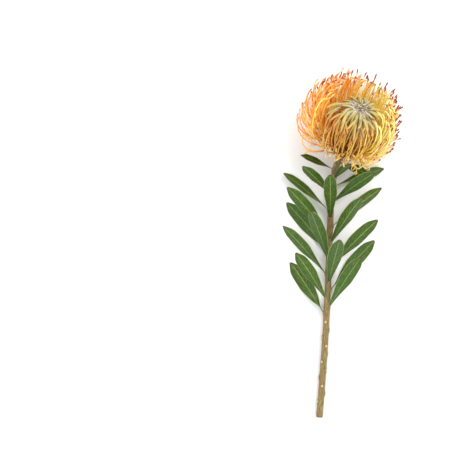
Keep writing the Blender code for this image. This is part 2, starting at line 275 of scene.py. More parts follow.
def leaf_seat(number):
    """Where a leaf sits: its distance behind the neck, and its angle around the stem from the top."""
    run = FIRST_LEAF_RUN + LEAF_SPACING * number
    turned = math.remainder(LEAF_START + number * GOLDEN_ANGLE, math.tau)
    return run, turned * mix(*LEAF_TURNS, ease(run / LEAF_TURNS_RUN))


def as_mesh(name, bm):
    """The finished mesh of a bmesh."""
    mesh = bpy.data.meshes.new(name)
    bm.to_mesh(mesh)
    bm.free()
    return mesh


def in_scene(name, data):
    """A new object at the origin."""
    thing = bpy.data.objects.new(name, data)
    bpy.context.scene.collection.objects.link(thing)
    return thing


def new_shape(*names, mapped=False):
    """An empty mesh, with the values that its materials read and, for bars, their map."""
    bm = bmesh.new()
    for name in names:
        bm.verts.layers.float.new(name)
    if mapped:
        bm.loops.layers.uv.new("OFBake")
    return bm


def mark(bm, vert, values):
    """Sets the values of a point."""
    for name, value in values.items():
        vert[bm.verts.layers.float[name]] = value


@functools.cache
def straight_bar(sides, steps):
    """A closed bar of unit radius from z = 0 to z = 1, with its skin rolled out flat in its map."""
    bm = new_shape(mapped=True)
    bmesh.ops.create_circle(bm, segments=sides, radius=1.0)
    edges = list(bm.edges)
    for _ in range(steps):
        made = bmesh.ops.extrude_edge_only(bm, edges=edges)["geom"]
        verts = [item for item in made if isinstance(item, bmesh.types.BMVert)]
        edges = [item for item in made if isinstance(item, bmesh.types.BMEdge) and item.is_boundary]
        bmesh.ops.translate(bm, verts=verts, vec=(0.0, 0.0, 1.0 / steps))
    bmesh.ops.holes_fill(bm, edges=bm.edges, sides=sides)
    bmesh.ops.recalc_face_normals(bm, faces=bm.faces)
    uv = bm.loops.layers.uv["OFBake"]
    for face in bm.faces:
        middle = face.calc_center_median()
        turn = math.atan2(middle.y, middle.x)
        for loop in face.loops:
            place = loop.vert.co
            if abs(face.normal.z) > 0.5:
                across = 0.25 + 0.5 * round(middle.z) + BAR_END_SIZE[0] * place.x
                loop[uv].uv = (across, BAR_END_HEIGHT + BAR_END_SIZE[1] * place.y)
            else:
                bend = math.remainder(math.atan2(place.y, place.x) - turn, math.tau)
                loop[uv].uv = ((turn + bend) / math.tau + 0.5, BAR_SIDE_SHARE * place.z)
    return as_mesh("bar", bm)


def add_bar(bm, sides, stations, column, columns, values):
    """Adds a bar bent through its stations: a share of its length, its middle and its two half widths."""
    first_vert, first_face, steps = len(bm.verts), len(bm.faces), len(stations) - 1
    bm.from_mesh(straight_bar(sides, steps))
    bm.verts.ensure_lookup_table()
    bm.faces.ensure_lookup_table()
    for vert in bm.verts[first_vert:]:
        x, y, z = vert.co
        share, centre, level, over = stations[round(z * steps)]
        place = centre + level * x + over * y
        vert.co = (place.x, place.y, max(place.z, 0.0))
        mark(bm, vert, {"along": share, "across": x, "inner": y, **values})
    uv = bm.loops.layers.uv["OFBake"]
    for face in bm.faces[first_face:]:
        for loop in face.loops:
            u, v = loop[uv].uv
            strip = mix(*MAP_SIDES, min(max(u, 0.0), 1.0))
            loop[uv].uv = ((column + strip) / columns, mix(*MAP_ENDS, v))
    return bm.faces[first_face:]


def new_piece(name, bm, finishes, node):
    """Makes a finished mesh a piece of the shoot, in place of the solid that it stands for."""
    made = in_scene(name, as_mesh(name, bm))
    made.data.shade_smooth()
    for finish in finishes:
        made.data.materials.append(finish)
    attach(made, "root")
    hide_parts(node)
    return made


def fibre_group():
    """Fibres that run along a plant's own length: fine streaks across it, drawn out along it."""
    inputs = {name: "NodeSocketFloat" for name in ("Across", "Along", "Seed", "Fineness")}
    tree, given, result = new_group("fibres", inputs, "Streak")
    across = product(tree, given["Across"], given["Fineness"])
    seed = product(tree, given["Seed"], 37.0)
    along = math_node(tree, "ADD", given["Along"], seed)
    place = add(tree, "ShaderNodeCombineXYZ", {"X": across, "Y": along, "Z": seed})
    tree.links.new(noise(tree, place.outputs[0], 1.0, 3.0, 0.6), result.inputs["Streak"])
    return tree


FIBRES = fibre_group()


def fibres(tree, across, along, seed, fineness):
    """The streaks of the fibre group, placed in a material."""
    inputs = {"Across": across, "Along": along, "Seed": seed, "Fineness": fineness}
    return add(tree, "ShaderNodeGroup", inputs, node_tree=FIBRES).outputs["Streak"]


def values_of(tree, *names):
    """The piece's own values: how far along and across it a place is, and others."""
    return [add(tree, "ShaderNodeAttribute", {}, attribute_name=name).outputs["Fac"] for name in names]


def bark():
    """Olive bark with lengthwise ribs, reddened in places, with lenticels and grey down near the head."""
    made, tree = new_finish("bark", 0.62, sheen=0.15)
    along, across, inner, scar = values_of(tree, "along", "across", "inner", "scar")
    turn = math_node(tree, "ARCTAN2", across, inner)
    streak = fibres(tree, turn, product(tree, along, 45.0), 0.0, 4.5)
    base = ramp(tree, streak, [(0.30, 74, 60, 30), (0.50, 122, 106, 52), (0.72, 160, 148, 86)])
    patches = noise(tree, object_place(tree), 45.0, 3.0)
    blush = product(tree, span(tree, patches, 0.42, 0.62), span(tree, inner, 0.9, -0.4, 0.85, 0.25))
    lenticels = span(tree, noise(tree, object_place(tree), 900.0, 1.0), 0.68, 0.74, 0.0, 0.7)
    rim = span(tree, scar, 0.30, 0.50, 0.0, 0.8)
    bare = span(tree, scar, 0.55, 0.75, 0.0, 0.9)
    woolly = product(tree, down(tree), span(tree, along, 0.80, 1.0, 0.10, 0.75))
    colour = layered(
        tree, base, (blush, 140, 72, 44), (lenticels, 186, 168, 120), (rim, 84, 58, 34),
        (bare, 198, 172, 116), (woolly, 206, 200, 168),
    )
    return covered(made, colour, streak, 0.6, 0.0006, span(tree, streak, 0.2, 0.8, 0.75, 0.5))


def cut_wood():
    """The sawn end: the brown pith, pale wood with fine rays, a thin green layer and the bark."""
    made, tree = new_finish("cut_wood", 0.8)
    rays = noise(tree, object_place(tree), 2600.0)
    wobble = math_node(tree, "ADD", values_of(tree, "ring")[0], span(tree, rays, 0.2, 0.8, -0.05, 0.05))
    pith = [(0.00, 120, 84, 46), (0.16, 150, 112, 66)]
    wood = [(0.24, 214, 196, 146), (0.74, 226, 212, 166)]
    rind = [(0.84, 158, 160, 84), (0.94, 96, 74, 40)]
    return covered(made, ramp(tree, wobble, pith + wood + rind), rays, 0.5, 0.0003)


def stem_station(share):
    """The stem from its cut end, at share 0, to its neck."""
    run = mix(STEM_RUN, -STEM_OVERLAP, share)
    along = stem_along(run)
    level = along.cross(UP).normalized()
    radius = stem_radius(run)
    return share, stem_place(run), level * radius, level.cross(along) * -radius


def raise_cushions(bm):
    """Swells the bark into a cushion under each leaf, and where the lower leaves were stripped off."""
    scar = bm.verts.layers.float["scar"]
    for number in range(LEAVES + STRIPPED):
        run, around = leaf_seat(number)
        away = stem_side(stem_along(run), around)
        top = stem_place(run + CUSHION_BELOW * CUSHION_SPREAD) + away * stem_radius(run)
        for vert in bm.verts:
            near = (vert.co - top).length / CUSHION_SPREAD
            if near < CUSHION_REACH:
                swell = math.exp(-near * near)
                vert.co += away * (CUSHION_HEIGHT * swell)
                vert.co.z = max(vert.co.z, 0.0)
                if number >= LEAVES:
                    vert[scar] = max(vert[scar], swell)


def stem():
    """The bark as one bent bar, with its cushions and its sawn end."""
    bm = new_shape("along", "across", "inner", "ring", "scar", mapped=True)
    stations = [stem_station(step / STEM_STEPS) for step in range(STEM_STEPS + 1)]
    faces = add_bar(bm, STEM_SIDES, stations, 0, 1, {"ring": 1.0, "scar": 0.0})
    raise_cushions(bm)
    ends = [face for face in faces if len(face.verts) == STEM_SIDES]
    cut = min(ends, key=lambda face: face.calc_center_median().y)
    cut.material_index = 1
    for inset, ring in CUT_RINGS:
        bmesh.ops.inset_individual(bm, faces=[cut], thickness=inset, depth=0.0)
        for vert in cut.verts:
            mark(bm, vert, {"ring": ring})
    return new_piece("stem_bark", bm, [bark(), cut_wood()], "stem")


stem()

# ---- Bracts ---------------------------------------------------------------------------------------
# Small hard scales hug the foot of the head in three rows, each pointed, with a keel and grey down.
# They grew from the shoot just under the cone, and their points stand off a little.
BRACTS = 13
BRACT_RADII = (0.0050, 0.0092, 0.0130, 0.0158)  # of a full-sized scale, at even steps along it
BRACT_HEIGHTS = (-0.0460, -0.0434, -0.0418, -0.0408)
BRACT_WIDTHS = (0.62, 1.0, 0.72, 0.03)  # shares of the full width along it
BRACT_HALF_ANGLE = 0.52 * math.tau / BRACTS
BRACT_TIERS = ((0.0, 1.0, 0.0), (0.5, 0.78, -0.0012), (0.25, 0.60, -0.0022))  # turn, size, height
BRACT_LEAN = 0.0009  # how far a point leans in or out
BRACT_KEEL = 0.0007
BRACT_DROP = 0.0006
BRACT_THICKNESS = 0.0005
SIDE = AXIS.cross(UP).normalized()  # to the right of the head, level
BACK = SIDE.cross(AXIS).normalized()  # up and back, over the neck


def scatter(number, salt):
    """A fixed scatter between -1 and 1 for each floret or leaf, with its own salt for each use."""
    return 2.0 * math.modf(abs(math.sin(number * 12.9898 + salt * 78.233)) * 437.5453)[0] - 1.0


def outward(angle):
    """The direction away from the head's axis, at an angle around it."""
    return SIDE * math.cos(angle) + BACK * math.sin(angle)


def at_head(angle, radius, height):
    """A point beside the head's axis."""
    return HEAD_CENTRE + AXIS * height + outward(angle) * radius


def along_points(points, share):
    """A value read off a row of evenly spaced ones."""
    return float(np.interp(share * (len(points) - 1), range(len(points)), points))


def add_sheet(bm, columns, rows, tone, place):
    """Adds a flat grid and lays it where place says for each x across, -1 to 1, and share along."""
    first = len(bm.verts)
    bmesh.ops.create_grid(bm, x_segments=columns, y_segments=rows, size=1.0)
    bm.verts.ensure_lookup_table()
    for vert in bm.verts[first:]:
        x, share = vert.co.x, 0.5 + 0.5 * vert.co.y
        vert.co = place(x, share)
        mark(bm, vert, {"along": share, "across": x, "tone": tone})


def thicken(piece, thickness):
    """Gives a sheet its thickness on both sides and rounds it."""
    shell = piece.modifiers.new("thickness", "SOLIDIFY")
    shell.thickness = thickness
    shell.offset = 0.0
    smooth = piece.modifiers.new("rounding", "SUBSURF")
    smooth.levels = 1
    smooth.render_levels = 1


def bract_scale():
    """Red-brown scale, darker at its point, under grey down that thickens at its edges."""
    made, tree = new_finish("bract_scale", 0.7, sheen=0.4)
    along, across, tone = values_of(tree, "along", "across", "tone")
    streak = fibres(tree, across, along, tone, 5.0)
    shaded = math_node(tree, "ADD", along, span(tree, streak, 0.3, 0.7, -0.2, 0.2))
    stops = [(0.0, 116, 96, 56), (0.45, 120, 66, 42), (0.8, 88, 36, 28), (1.0, 58, 24, 22)]
    edge = span(tree, math_node(tree, "ABSOLUTE", across), 0.45, 1.0, 0.25, 0.85)
    woolly = product(tree, down(tree), edge)
    colour = layered(tree, ramp(tree, shaded, stops), (woolly, 196, 186, 166))
    return covered(made, colour, streak, 0.5, 0.0004)


BRACT_SCALE = bract_scale()


def bract_point(number, tier, x, share):
    """A point on a scale, at x across it and a share of its length."""
    turn, size, drop = BRACT_TIERS[tier]
    radius = along_points(BRACT_RADII, share * size)
    height = along_points(BRACT_HEIGHTS, share * size) + drop
    half = BRACT_HALF_ANGLE * size * along_points(BRACT_WIDTHS, share)
    keel = BRACT_KEEL * (1.0 - abs(x)) * (1.0 - 0.5 * share)
    lean = BRACT_LEAN * scatter(number, 20 + tier) * share
    angle = math.tau * (number + turn) / BRACTS
    return at_head(angle + x * half, radius + 0.6 * keel + lean, height - keel - BRACT_DROP)


def bract(number):
    """One scale of each tier, as one piece."""
    bm = new_shape("along", "across", "tone")
    for tier in range(len(BRACT_TIERS)):
        tone = scatter(number, 30 + tier)
        add_sheet(bm, 4, 6, tone, lambda x, share: bract_point(number, tier, x, share))
    name, node = f"bract_scales_{number + 1:02d}", f"bract_{number + 1:02d}"
    thicken(new_piece(name, bm, [BRACT_SCALE], node), BRACT_THICKNESS)


for number in range(BRACTS):
    bract(number)

# ---- Florets --------------------------------------------------------------------------------------
# The head is a ball of florets, grown from the cone on crossing spirals. Each is a strap of four joined
# petals around a long style. Over the crown the straps still hold the styles' tips. Further out the
# styles are drawn into hooks or have sprung free, gold with a dark tip, and the straps are rolled back.
CONE_TIP_HEIGHT = -0.0040
CONE_SLANT = 0.0360
CONE_FOOT_RADIUS = 0.0105
ROWS = 21
FLORETS_PER_ROW = 12
CROWN_FLORETS = ROWS
FLORETS = CROWN_FLORETS + ROWS * FLORETS_PER_ROW
FIRST_OPEN = CROWN_FLORETS + ROWS * 5

# A place is its radius from the head's axis and its height along it. A pair with a plural name is for
# the innermost florets of a kind and for the outermost, where its line says nothing else.
CLOSED_TIP_RADII = (0.0012, 0.0088)
CLOSED_TIP_HEIGHTS = (0.0110, 0.0165)
CLOSED_FLANK = (0.0265, 0.0)
CLOSED_SHOULDER = (0.0225, 0.0085)
CLOSED_GROWTH = 0.85
CLOSED_SWING = 0.20  # how far florets are turned around the head from foot to tip, in radians
CLOSED_STRAY = 0.196  # and how far a tip strays from that
CLOSED_DEPTH = 0.0011  # how far a tip is pushed up or down

# The closed ones spread furthest down on the side over the neck, where florets open last.
LATE_SIDE = math.radians(90)
LATE_EDGE = (0.45, 0.80)  # between these cosines of the angle to that side, opening stops
LATE_TIP = (0.0180, 0.0192)
LATE_TIP_SWEEP = (0.0175, -0.0170)
LATE_SWEEP = math.radians(80)
LATE_FLANK = (0.0310, -0.0060)
LATE_SHOULDER = (0.0070, -0.0140)
LATE_DROP = 1.5

OPEN_TIP_RADII = (0.0380, 0.0545)
OPEN_TIP_HEIGHTS = (0.0200, -0.0290)
OPEN_WIDENING = 0.62  # how fast the tips reach their full radius, in half turns
OPEN_START_ANGLES = (72, 104)
OPEN_END_ANGLES = (6, 46)
OPEN_INCURVE = 58  # how many more degrees the orange ones curve back in
INCURVED_FROM, INCURVED_OVER = 0.45, 0.35  # the warmth where that starts, and how much more makes it whole
OPEN_PULLS = (0.50, 0.36)  # how far the two ends' directions hold, as shares of the reach
OPEN_SWING = 0.10
OPEN_SWING_SCATTER = 0.05
OPEN_STRAY = 0.14
OPEN_SWAY = 0.0008
OPEN_PALE_FROM, OPEN_PALE_SCATTER = 0.66, 0.20  # the warmth from which its tip is pale
BEND_TOP = 0.0140  # below this height, styles bend to lie along the surface
BEND_DEPTH = 0.0048
STYLE_REST = 0.00045
SPLAY_RADIUS = 0.02
STYLE_LEAN = Vector((-0.001, 0.0120, 0.0))
WARMTH, WARMTH_ACROSS, WARMTH_SCATTER = 0.43, 0.33, 0.22  # in the middle, and more at the left

# Between the dome and the sprung styles stand hooked ones, numbered at the halves between the others.
# More sprung ones stand at the quarters, on the side away from the neck, where the head is thickest.
HOOKED_PLACES = 126
HOOK_TIPS = ((0.0235, 0.0275), (0.0390, 0.0170))
HOOK_FLANKS = ((0.0330, 0.0000), (0.0425, -0.0050))
HOOK_OVERS = ((0.0130, 0.0060), (0.0110, 0.0030))
HOOK_OVER_SCATTER = 0.20
HOOK_PLAIN_REACH = 0.96
HOOK_REACH = 0.46  # how much further the most orange ones reach than the yellowest
HOOK_SCATTER = 0.17
HOOK_LIMIT = 1.14
HOOK_THINNED = 0.10  # how much less they reach on the side where more have sprung
HOOK_STRAY = 0.224
HOOK_SWAY = 0.0022
HOOK_PALE = 0.1  # those that scatter up to this have a pale tip
EXTRA_SIDE = (0.15 * SIDE - BACK).normalized()  # where more stand, and the styles are longest
EXTRA_EDGE = 0.20  # how far to that side they begin
EXTRA_SCATTER = 0.16
EXTRA_SHORTER = 0.4  # how much shorter most are, in scatters
EXTRA_STRAY = 0.308
LONG_REACH = 0.0075  # how much longer styles are there
LONG_POWER = 4  # and how fast that fades to the sides

# Each row of a profile holds a share of the length, a width and a thickness.
BUD_PROFILE = (
    (0.00, 0.0012, 0.0011), (0.30, 0.0015, 0.0011), (0.50, 0.0018, 0.0012), (0.64, 0.0024, 0.0014),
    (0.76, 0.0028, 0.0016), (0.85, 0.0034, 0.0021), (0.92, 0.0040, 0.0030), (0.97, 0.0036, 0.0030),
    (1.00, 0.0018, 0.0016),
)
STRAP_PROFILE = (
    (0.00, 0.0004, 0.0005), (0.07, 0.0016, 0.0008), (0.18, 0.0029, 0.0010), (0.34, 0.0037, 0.0012),
    (0.52, 0.0038, 0.0014), (0.70, 0.0036, 0.0017), (0.84, 0.0033, 0.0020), (0.94, 0.0030, 0.0021),
    (1.00, 0.0012, 0.0010),
)
THREAD_PROFILE = (
    (0.00, 0.0013, 0.0012), (0.12, 0.0013, 0.0012), (0.24, 0.0013, 0.0012), (0.36, 0.0012, 0.0012),
    (0.48, 0.0012, 0.0012), (0.60, 0.0012, 0.0012), (0.72, 0.0011, 0.0011), (0.84, 0.0010, 0.0010),
    (0.94, 0.0008, 0.0008),
)
HOOK_PROFILE = (
    (0.00, 0.0013, 0.0012), (0.15, 0.0017, 0.0013), (0.32, 0.0018, 0.0013), (0.45, 0.0013, 0.0013),
    (0.58, 0.0013, 0.0013), (0.70, 0.0013, 0.0013), (0.82, 0.0013, 0.0013), (0.91, 0.0017, 0.0015),
    (0.97, 0.0017, 0.0014), (1.00, 0.0008, 0.0008),
)
OPEN_PROFILE = (
    (0.00, 0.0013, 0.0012), (0.14, 0.0021, 0.0015), (0.28, 0.0023, 0.0015), (0.37, 0.0020, 0.0014),
    (0.42, 0.0017, 0.0014), (0.54, 0.0017, 0.0014), (0.66, 0.0016, 0.0013), (0.78, 0.0013, 0.0012),
    (0.88, 0.0010, 0.0010), (0.935, 0.0009, 0.0009), (0.955, 0.0015, 0.0015), (0.98, 0.0017, 0.0017),
    (1.00, 0.0006, 0.0006),
)
BUD_SIZE = 0.70  # the innermost straps, against the full-grown ones
BUD_GROWTH = 1.6
BUD_RANK = 0.22  # up to here, a strap still wraps its whole style
LATE_RANKS = 0.45  # from rank 1, over how many ranks straps become late ones
LATE_SIZE = 0.66
RIM_RANK = 1.40  # from here out, late straps have begun to roll back at the rim
STRAP_SCATTER = 0.14
STRAP_ROLL = 0.5
STRAP_ENDS = ((0.50, 0.76), (0.58, 0.84))  # where along it straps end, in the crown and at the rim
STRAP_STANDS_OFF = 0.0034  # how far a strap's pointed end stands off its style
STRAP_STANDS_ASIDE = 0.0040
STRAP_COLOUR_FROM = 0.45  # its pointed end's place on the colours of a whole strap
CLUMP_WAVES, CLUMP_TWIST = 7, 9.0  # clumps of straps around the dome, and how they wind down it
CLUMP_SWAY = 0.60
CLOSED_SWAY = 0.0042  # how far a strap strays to a side
CLOSED_LIFT = 0.0022  # and out of the dome or into it
SECOND_BEND = 0.6  # of the stray of a floret's line, how much bends back
THREAD_SWAY = 0.6  # of its strap's
THREAD_DEPTH = 0.0003
THREAD_TONES = (0.3, -1.2)  # painted shade under the dome: its share of the tone, and how much darker
HAIRS = 5  # to a strap
HAIR_STEPS = 2
HAIR_LENGTH = 0.0024
HAIR_WIDTH = 0.00008
HAIR_LEAN, HAIR_BEND, HAIR_TAPER = 0.7, 0.4, 0.8
CURL_STEPS = 12
CURL_RUN_STEPS = 4
CURL_SHARE = 0.38  # where along its style a strap leaves it
RIM_CURL_SHARE = 0.30
CURL_SHARE_SCATTER = 0.06
CURL_TURNS = 1.30
CURL_TURN_SCATTER = 0.25
CURL_SIZE_SCATTER = 0.22
CURL_ROLL = 0.8
CURL_ASIDE = 0.0011
CURL_OUT = 0.35  # how far its straight run leans out
CURL_GAP = 0.0004
CURL_TAPER = 0.55
CURL_THICKNESS = 0.0006
BROAD_CURL = (0.0015, 0.0, 0.0030, 0.0014)  # width, run before it rolls, outer and inner radius
NARROW_CURL = (0.0010, 0.0065, 0.0024, 0.0012)

ON_STRAP, ON_STYLE, ON_CURL, ON_HOOK, ON_HAIR = range(5)  # the finishes of a piece
BAR_SIDES = (6, 5, 4, 5, 3)  # of what has each of these finishes


def bezier(points, share):
    """A point on the curve that four control points guide."""
    a, b, c, d = points
    rest = 1.0 - share
    return a * rest**3 + b * (3 * rest * rest * share) + c * (3 * rest * share * share) + d * share**3


def between(places, share):
    """The place a share of the way between two."""
    return Vector(places[0]).lerp(Vector(places[1]), share)


def extra_side(number):
    """How far a floret stands on the side where there are more: 1 there, and less than 0 opposite."""
    return outward(number * GOLDEN_ANGLE).dot(EXTRA_SIDE)


def is_hooked(number):
    """Whether a floret is one of the hooked ones, at the half numbers."""
    return number % 1.0 == 0.5


def is_extra(number):
    """Whether a floret is one of the extra ones, at the quarter numbers."""
    return number % 1.0 in (0.25, 0.75)


def is_open(number):
    """Whether a floret has opened: from the rim inwards, and last on the side over the neck."""
    begin, end = LATE_EDGE
    late = ease((math.cos(number * GOLDEN_ANGLE - LATE_SIDE) - begin) / (end - begin))
    return number >= mix(FIRST_OPEN, FLORETS, late)


def warmth(number):
    """How orange a floret is: those on the left are, those on the right are yellower and paler with painted
    backlit glow.
    """
    across = math.cos(number * GOLDEN_ANGLE)
    return WARMTH - WARMTH_ACROSS * across + WARMTH_SCATTER * scatter(number, 5)


def onto_surface(point):
    """Moves a point of the head that would lie under the surface up to it, and splays it outwards."""
    if point.z >= BEND_TOP:
        return point
    depth = max((point.z + BEND_DEPTH) / (BEND_TOP + BEND_DEPTH), 0.0)
    slope = (BEND_TOP + BEND_DEPTH) / (BEND_TOP - STYLE_REST)
    height = STYLE_REST + (BEND_TOP - STYLE_REST) * depth**slope
    away = Vector((point.x - HEAD_CENTRE.x, point.y - HEAD_CENTRE.y, 0.0))
    splay = 0.5 * (height - point.z) * min(away.length / SPLAY_RADIUS, 1.0)
    return Vector((point.x, point.y, height)) + away.normalized() * splay


def floret_seat(number):
    """The place of a floret's foot. Each floret has the same share of the cone's area."""
    slant = CONE_SLANT * math.sqrt((number + 0.5) / FLORETS)
    lean = math.asin(CONE_FOOT_RADIUS / CONE_SLANT)
    return Vector((slant * math.sin(lean) + SEAT, CONE_TIP_HEIGHT - slant * math.cos(lean)))


def closed_place(number, share):
    """The place along a closed floret: out from its foot, up, and in over the shoulder."""
    rank = min((number + 0.5) / FIRST_OPEN, 1.0)
    foot = floret_seat(number)
    tip = Vector((mix(*CLOSED_TIP_RADII, rank), mix(*CLOSED_TIP_HEIGHTS, rank)))
    flank = Vector(CLOSED_FLANK) * rank**CLOSED_GROWTH
    shoulder = Vector(CLOSED_SHOULDER) * rank**CLOSED_GROWTH
    if number >= FIRST_OPEN:
        late = (number + 0.5 - FIRST_OPEN) / (FLORETS - FIRST_OPEN)
        out, down_share = math.sin(LATE_SWEEP * late), 1.0 - math.cos(LATE_SWEEP * late)
        tip = Vector(LATE_TIP) + Vector((LATE_TIP_SWEEP[0] * out, LATE_TIP_SWEEP[1] * down_share))
        flank = flank.lerp(Vector(LATE_FLANK), late)
        shoulder = shoulder.lerp(Vector(LATE_SHOULDER), late**LATE_DROP)
    place = bezier((foot, foot + flank, tip + shoulder, tip), share)
    return place + Vector((0.0, CLOSED_DEPTH * scatter(number, 26) * share))


def open_place(number, share):
    """The place along an open floret's style: out, along and incurved."""
    rank = (number + 0.5 - FIRST_OPEN) / (FLORETS - FIRST_OPEN)
    foot = floret_seat(number)
    widening = math.sin(math.pi * min(OPEN_WIDENING * rank, 0.5))
    tip = Vector((mix(*OPEN_TIP_RADII, widening), mix(*OPEN_TIP_HEIGHTS, rank)))
    if is_extra(number):
        tip *= 1.0 - EXTRA_SCATTER * (EXTRA_SHORTER + scatter(number, 27))
    tip.x += LONG_REACH * max(extra_side(number), 0.0) ** LONG_POWER
    incurve = OPEN_INCURVE * ease((warmth(number) - INCURVED_FROM) / INCURVED_OVER)
    start = math.radians(mix(*OPEN_START_ANGLES, rank))
    end = math.radians(mix(*OPEN_END_ANGLES, rank) - incurve)
    reach = (tip - foot).length
    out = foot + Vector((math.sin(start), math.cos(start))) * reach * OPEN_PULLS[0]
    over = tip - Vector((math.sin(end), math.cos(end))) * reach * OPEN_PULLS[1]
    return bezier((foot, out, over, tip), share)


def hooked_place(number, share):
    """The place along a hooked floret: far out from its foot, up, and back in at its tip."""
    rank = (number + 0.5 - FIRST_OPEN) / HOOKED_PLACES
    foot = floret_seat(number)
    tip = between(HOOK_TIPS, rank)
    reach = HOOK_PLAIN_REACH + HOOK_REACH * (warmth(number) - 0.5) + HOOK_SCATTER * scatter(number, 17)
    reach = min(reach - HOOK_THINNED * max(extra_side(number), 0.0), HOOK_LIMIT)
    flank = between(HOOK_FLANKS, rank) * reach
    over = between(HOOK_OVERS, rank) * (1.0 + HOOK_OVER_SCATTER * scatter(number, 18))
    return bezier((foot, foot + flank, tip + over, tip), share)


def floret_centre(number, share):
    """The middle of a floret at a share of its length."""
    if is_hooked(number):
        place, lean = hooked_place(number, share), 0.5
        swing = CLOSED_SWING + HOOK_STRAY * scatter(number, 29)
    elif is_open(number):
        place, lean = open_place(number, share), 1.0
        stray = EXTRA_STRAY if is_extra(number) else OPEN_STRAY
        swing = OPEN_SWING + OPEN_SWING_SCATTER * scatter(number, 1) + stray * scatter(number, 28)
    else:
        place, lean = closed_place(number, share), 0.0
        swing = CLOSED_SWING + CLOSED_STRAY * scatter(number, 25)
    point = at_head(number * GOLDEN_ANGLE + swing * share * share, *place)
    return onto_surface(point + STYLE_LEAN * (lean * share * share))


def cross_lines(number, along, roll=0.0):
    """The unit lines across a floret: level around the head, and from its outer to its inner face."""
    across = outward(number * GOLDEN_ANGLE).cross(AXIS)
    level = (across - along * across.dot(along)).normalized()
    turned = Matrix.Rotation(roll, 3, along) @ level
    return turned, turned.cross(along)


def floret_stations(number, profile, sway, lift=0.0, roll=0.0, begin=0.0, off=0.0, aside=0.0):
    """Stations along a floret's own line from begin to its tip, for a bar that strays from it a little."""
    stations = []
    for part, width, thickness in profile:
        share = mix(begin, 1.0, part)
        before, after = max(share - 0.01, 0.0), min(share + 0.01, 1.0)
        along = (floret_centre(number, after) - floret_centre(number, before)).normalized()
        level, over = cross_lines(number, along, roll * share)
        bow = math.sin(math.pi * share)
        stray = bow + SECOND_BEND * math.sin(3.0 * math.pi * share) * scatter(number, 21)
        away = lift * bow + off * (1.0 - part) ** 2
        sideways = sway * stray + aside * (1.0 - part) ** 2
        centre = floret_centre(number, share) + level * sideways - over * away
        stations.append((share, centre, level * (0.5 * width), over * (0.5 * thickness)))
    return stations


def curl_stations(number, leaves_at, salt, width, run, first_radius, last_radius):
    """A strap of an open floret: out along its style for a run, and rolled back like a watch spring."""
    start_share = leaves_at + CURL_SHARE_SCATTER * scatter(number, salt)
    start = floret_centre(number, start_share)
    along = (floret_centre(number, start_share + 0.01) - start).normalized()
    level, over = cross_lines(number, along, CURL_ROLL * scatter(number, salt + 1))
    out = -over
    turns = CURL_TURNS * (1.0 + CURL_TURN_SCATTER * scatter(number, salt + 2))
    size = 1.0 + CURL_SIZE_SCATTER * scatter(number, salt + 3)
    run_steps = CURL_RUN_STEPS if run else 0
    aside = math.copysign(CURL_ASIDE, scatter(number, salt + 4))
    rise = (along + out * CURL_OUT).normalized()
    stations = []
    for step in range(CURL_STEPS + 1):
        share = step / CURL_STEPS
        rolled = max(step - run_steps, 0) / (CURL_STEPS - run_steps)
        foot = start + rise * (run * min(step, run_steps) / max(run_steps, 1)) + out * CURL_GAP
        angle = math.tau * turns * rolled
        radius = mix(first_radius, last_radius, rolled) * size
        spread = first_radius * size - radius * math.cos(angle)
        centre = foot + out * spread + along * (radius * math.sin(angle)) + level * (aside * rolled)
        radial = (along * math.sin(angle) - out * math.cos(angle)).normalized()
        taper = 1.0 - CURL_TAPER * share**3
        half_widths = level * (0.5 * width * taper), radial * (0.5 * CURL_THICKNESS * taper)
        stations.append((share, centre, *half_widths))
    return stations


def clumped(number):
    """How far a strap leans to a side: with its neighbours, and as much on its own."""
    shared = math.sin(CLUMP_WAVES * number * GOLDEN_ANGLE + CLUMP_TWIST * number / FIRST_OPEN)
    return CLUMP_SWAY * shared + CLUMP_SWAY * scatter(number, 10)


def hair_bars(number, strap, values):
    """Long pale hairs on the outer face of a strap, near its tip."""
    bars = []
    for hair in range(HAIRS):
        _, root, half, outer = strap[-2 - int(2.0 + 2.0 * scatter(number, 70 + hair))]
        aside = scatter(number, 80 + hair)
        along = (strap[-1][1] - strap[-4][1]).normalized()
        start = root - outer * (1.0 - 0.5 * aside * aside) + half * (0.8 * aside)
        way = (along * HAIR_LEAN - outer.normalized() + half.normalized() * aside).normalized()
        tip = start + way * (HAIR_LENGTH * (0.7 + 0.3 * scatter(number, 90 + hair)))
        bend = along * (HAIR_BEND * HAIR_LENGTH)
        level = way.cross(along).normalized()
        over = level.cross(way)
        stations = []
        for step in range(HAIR_STEPS + 1):
            share = step / HAIR_STEPS
            width = HAIR_WIDTH * (1.0 - HAIR_TAPER * share)
            stations.append((share, start.lerp(tip, share) + bend * share**2, level * width, over * width))
        bars.append((ON_HAIR, stations, values))
    return bars


def sized(profile, size):
    """A profile with its widths and thicknesses at another size."""
    return [(share, width * size, thickness * size) for share, width, thickness in profile]


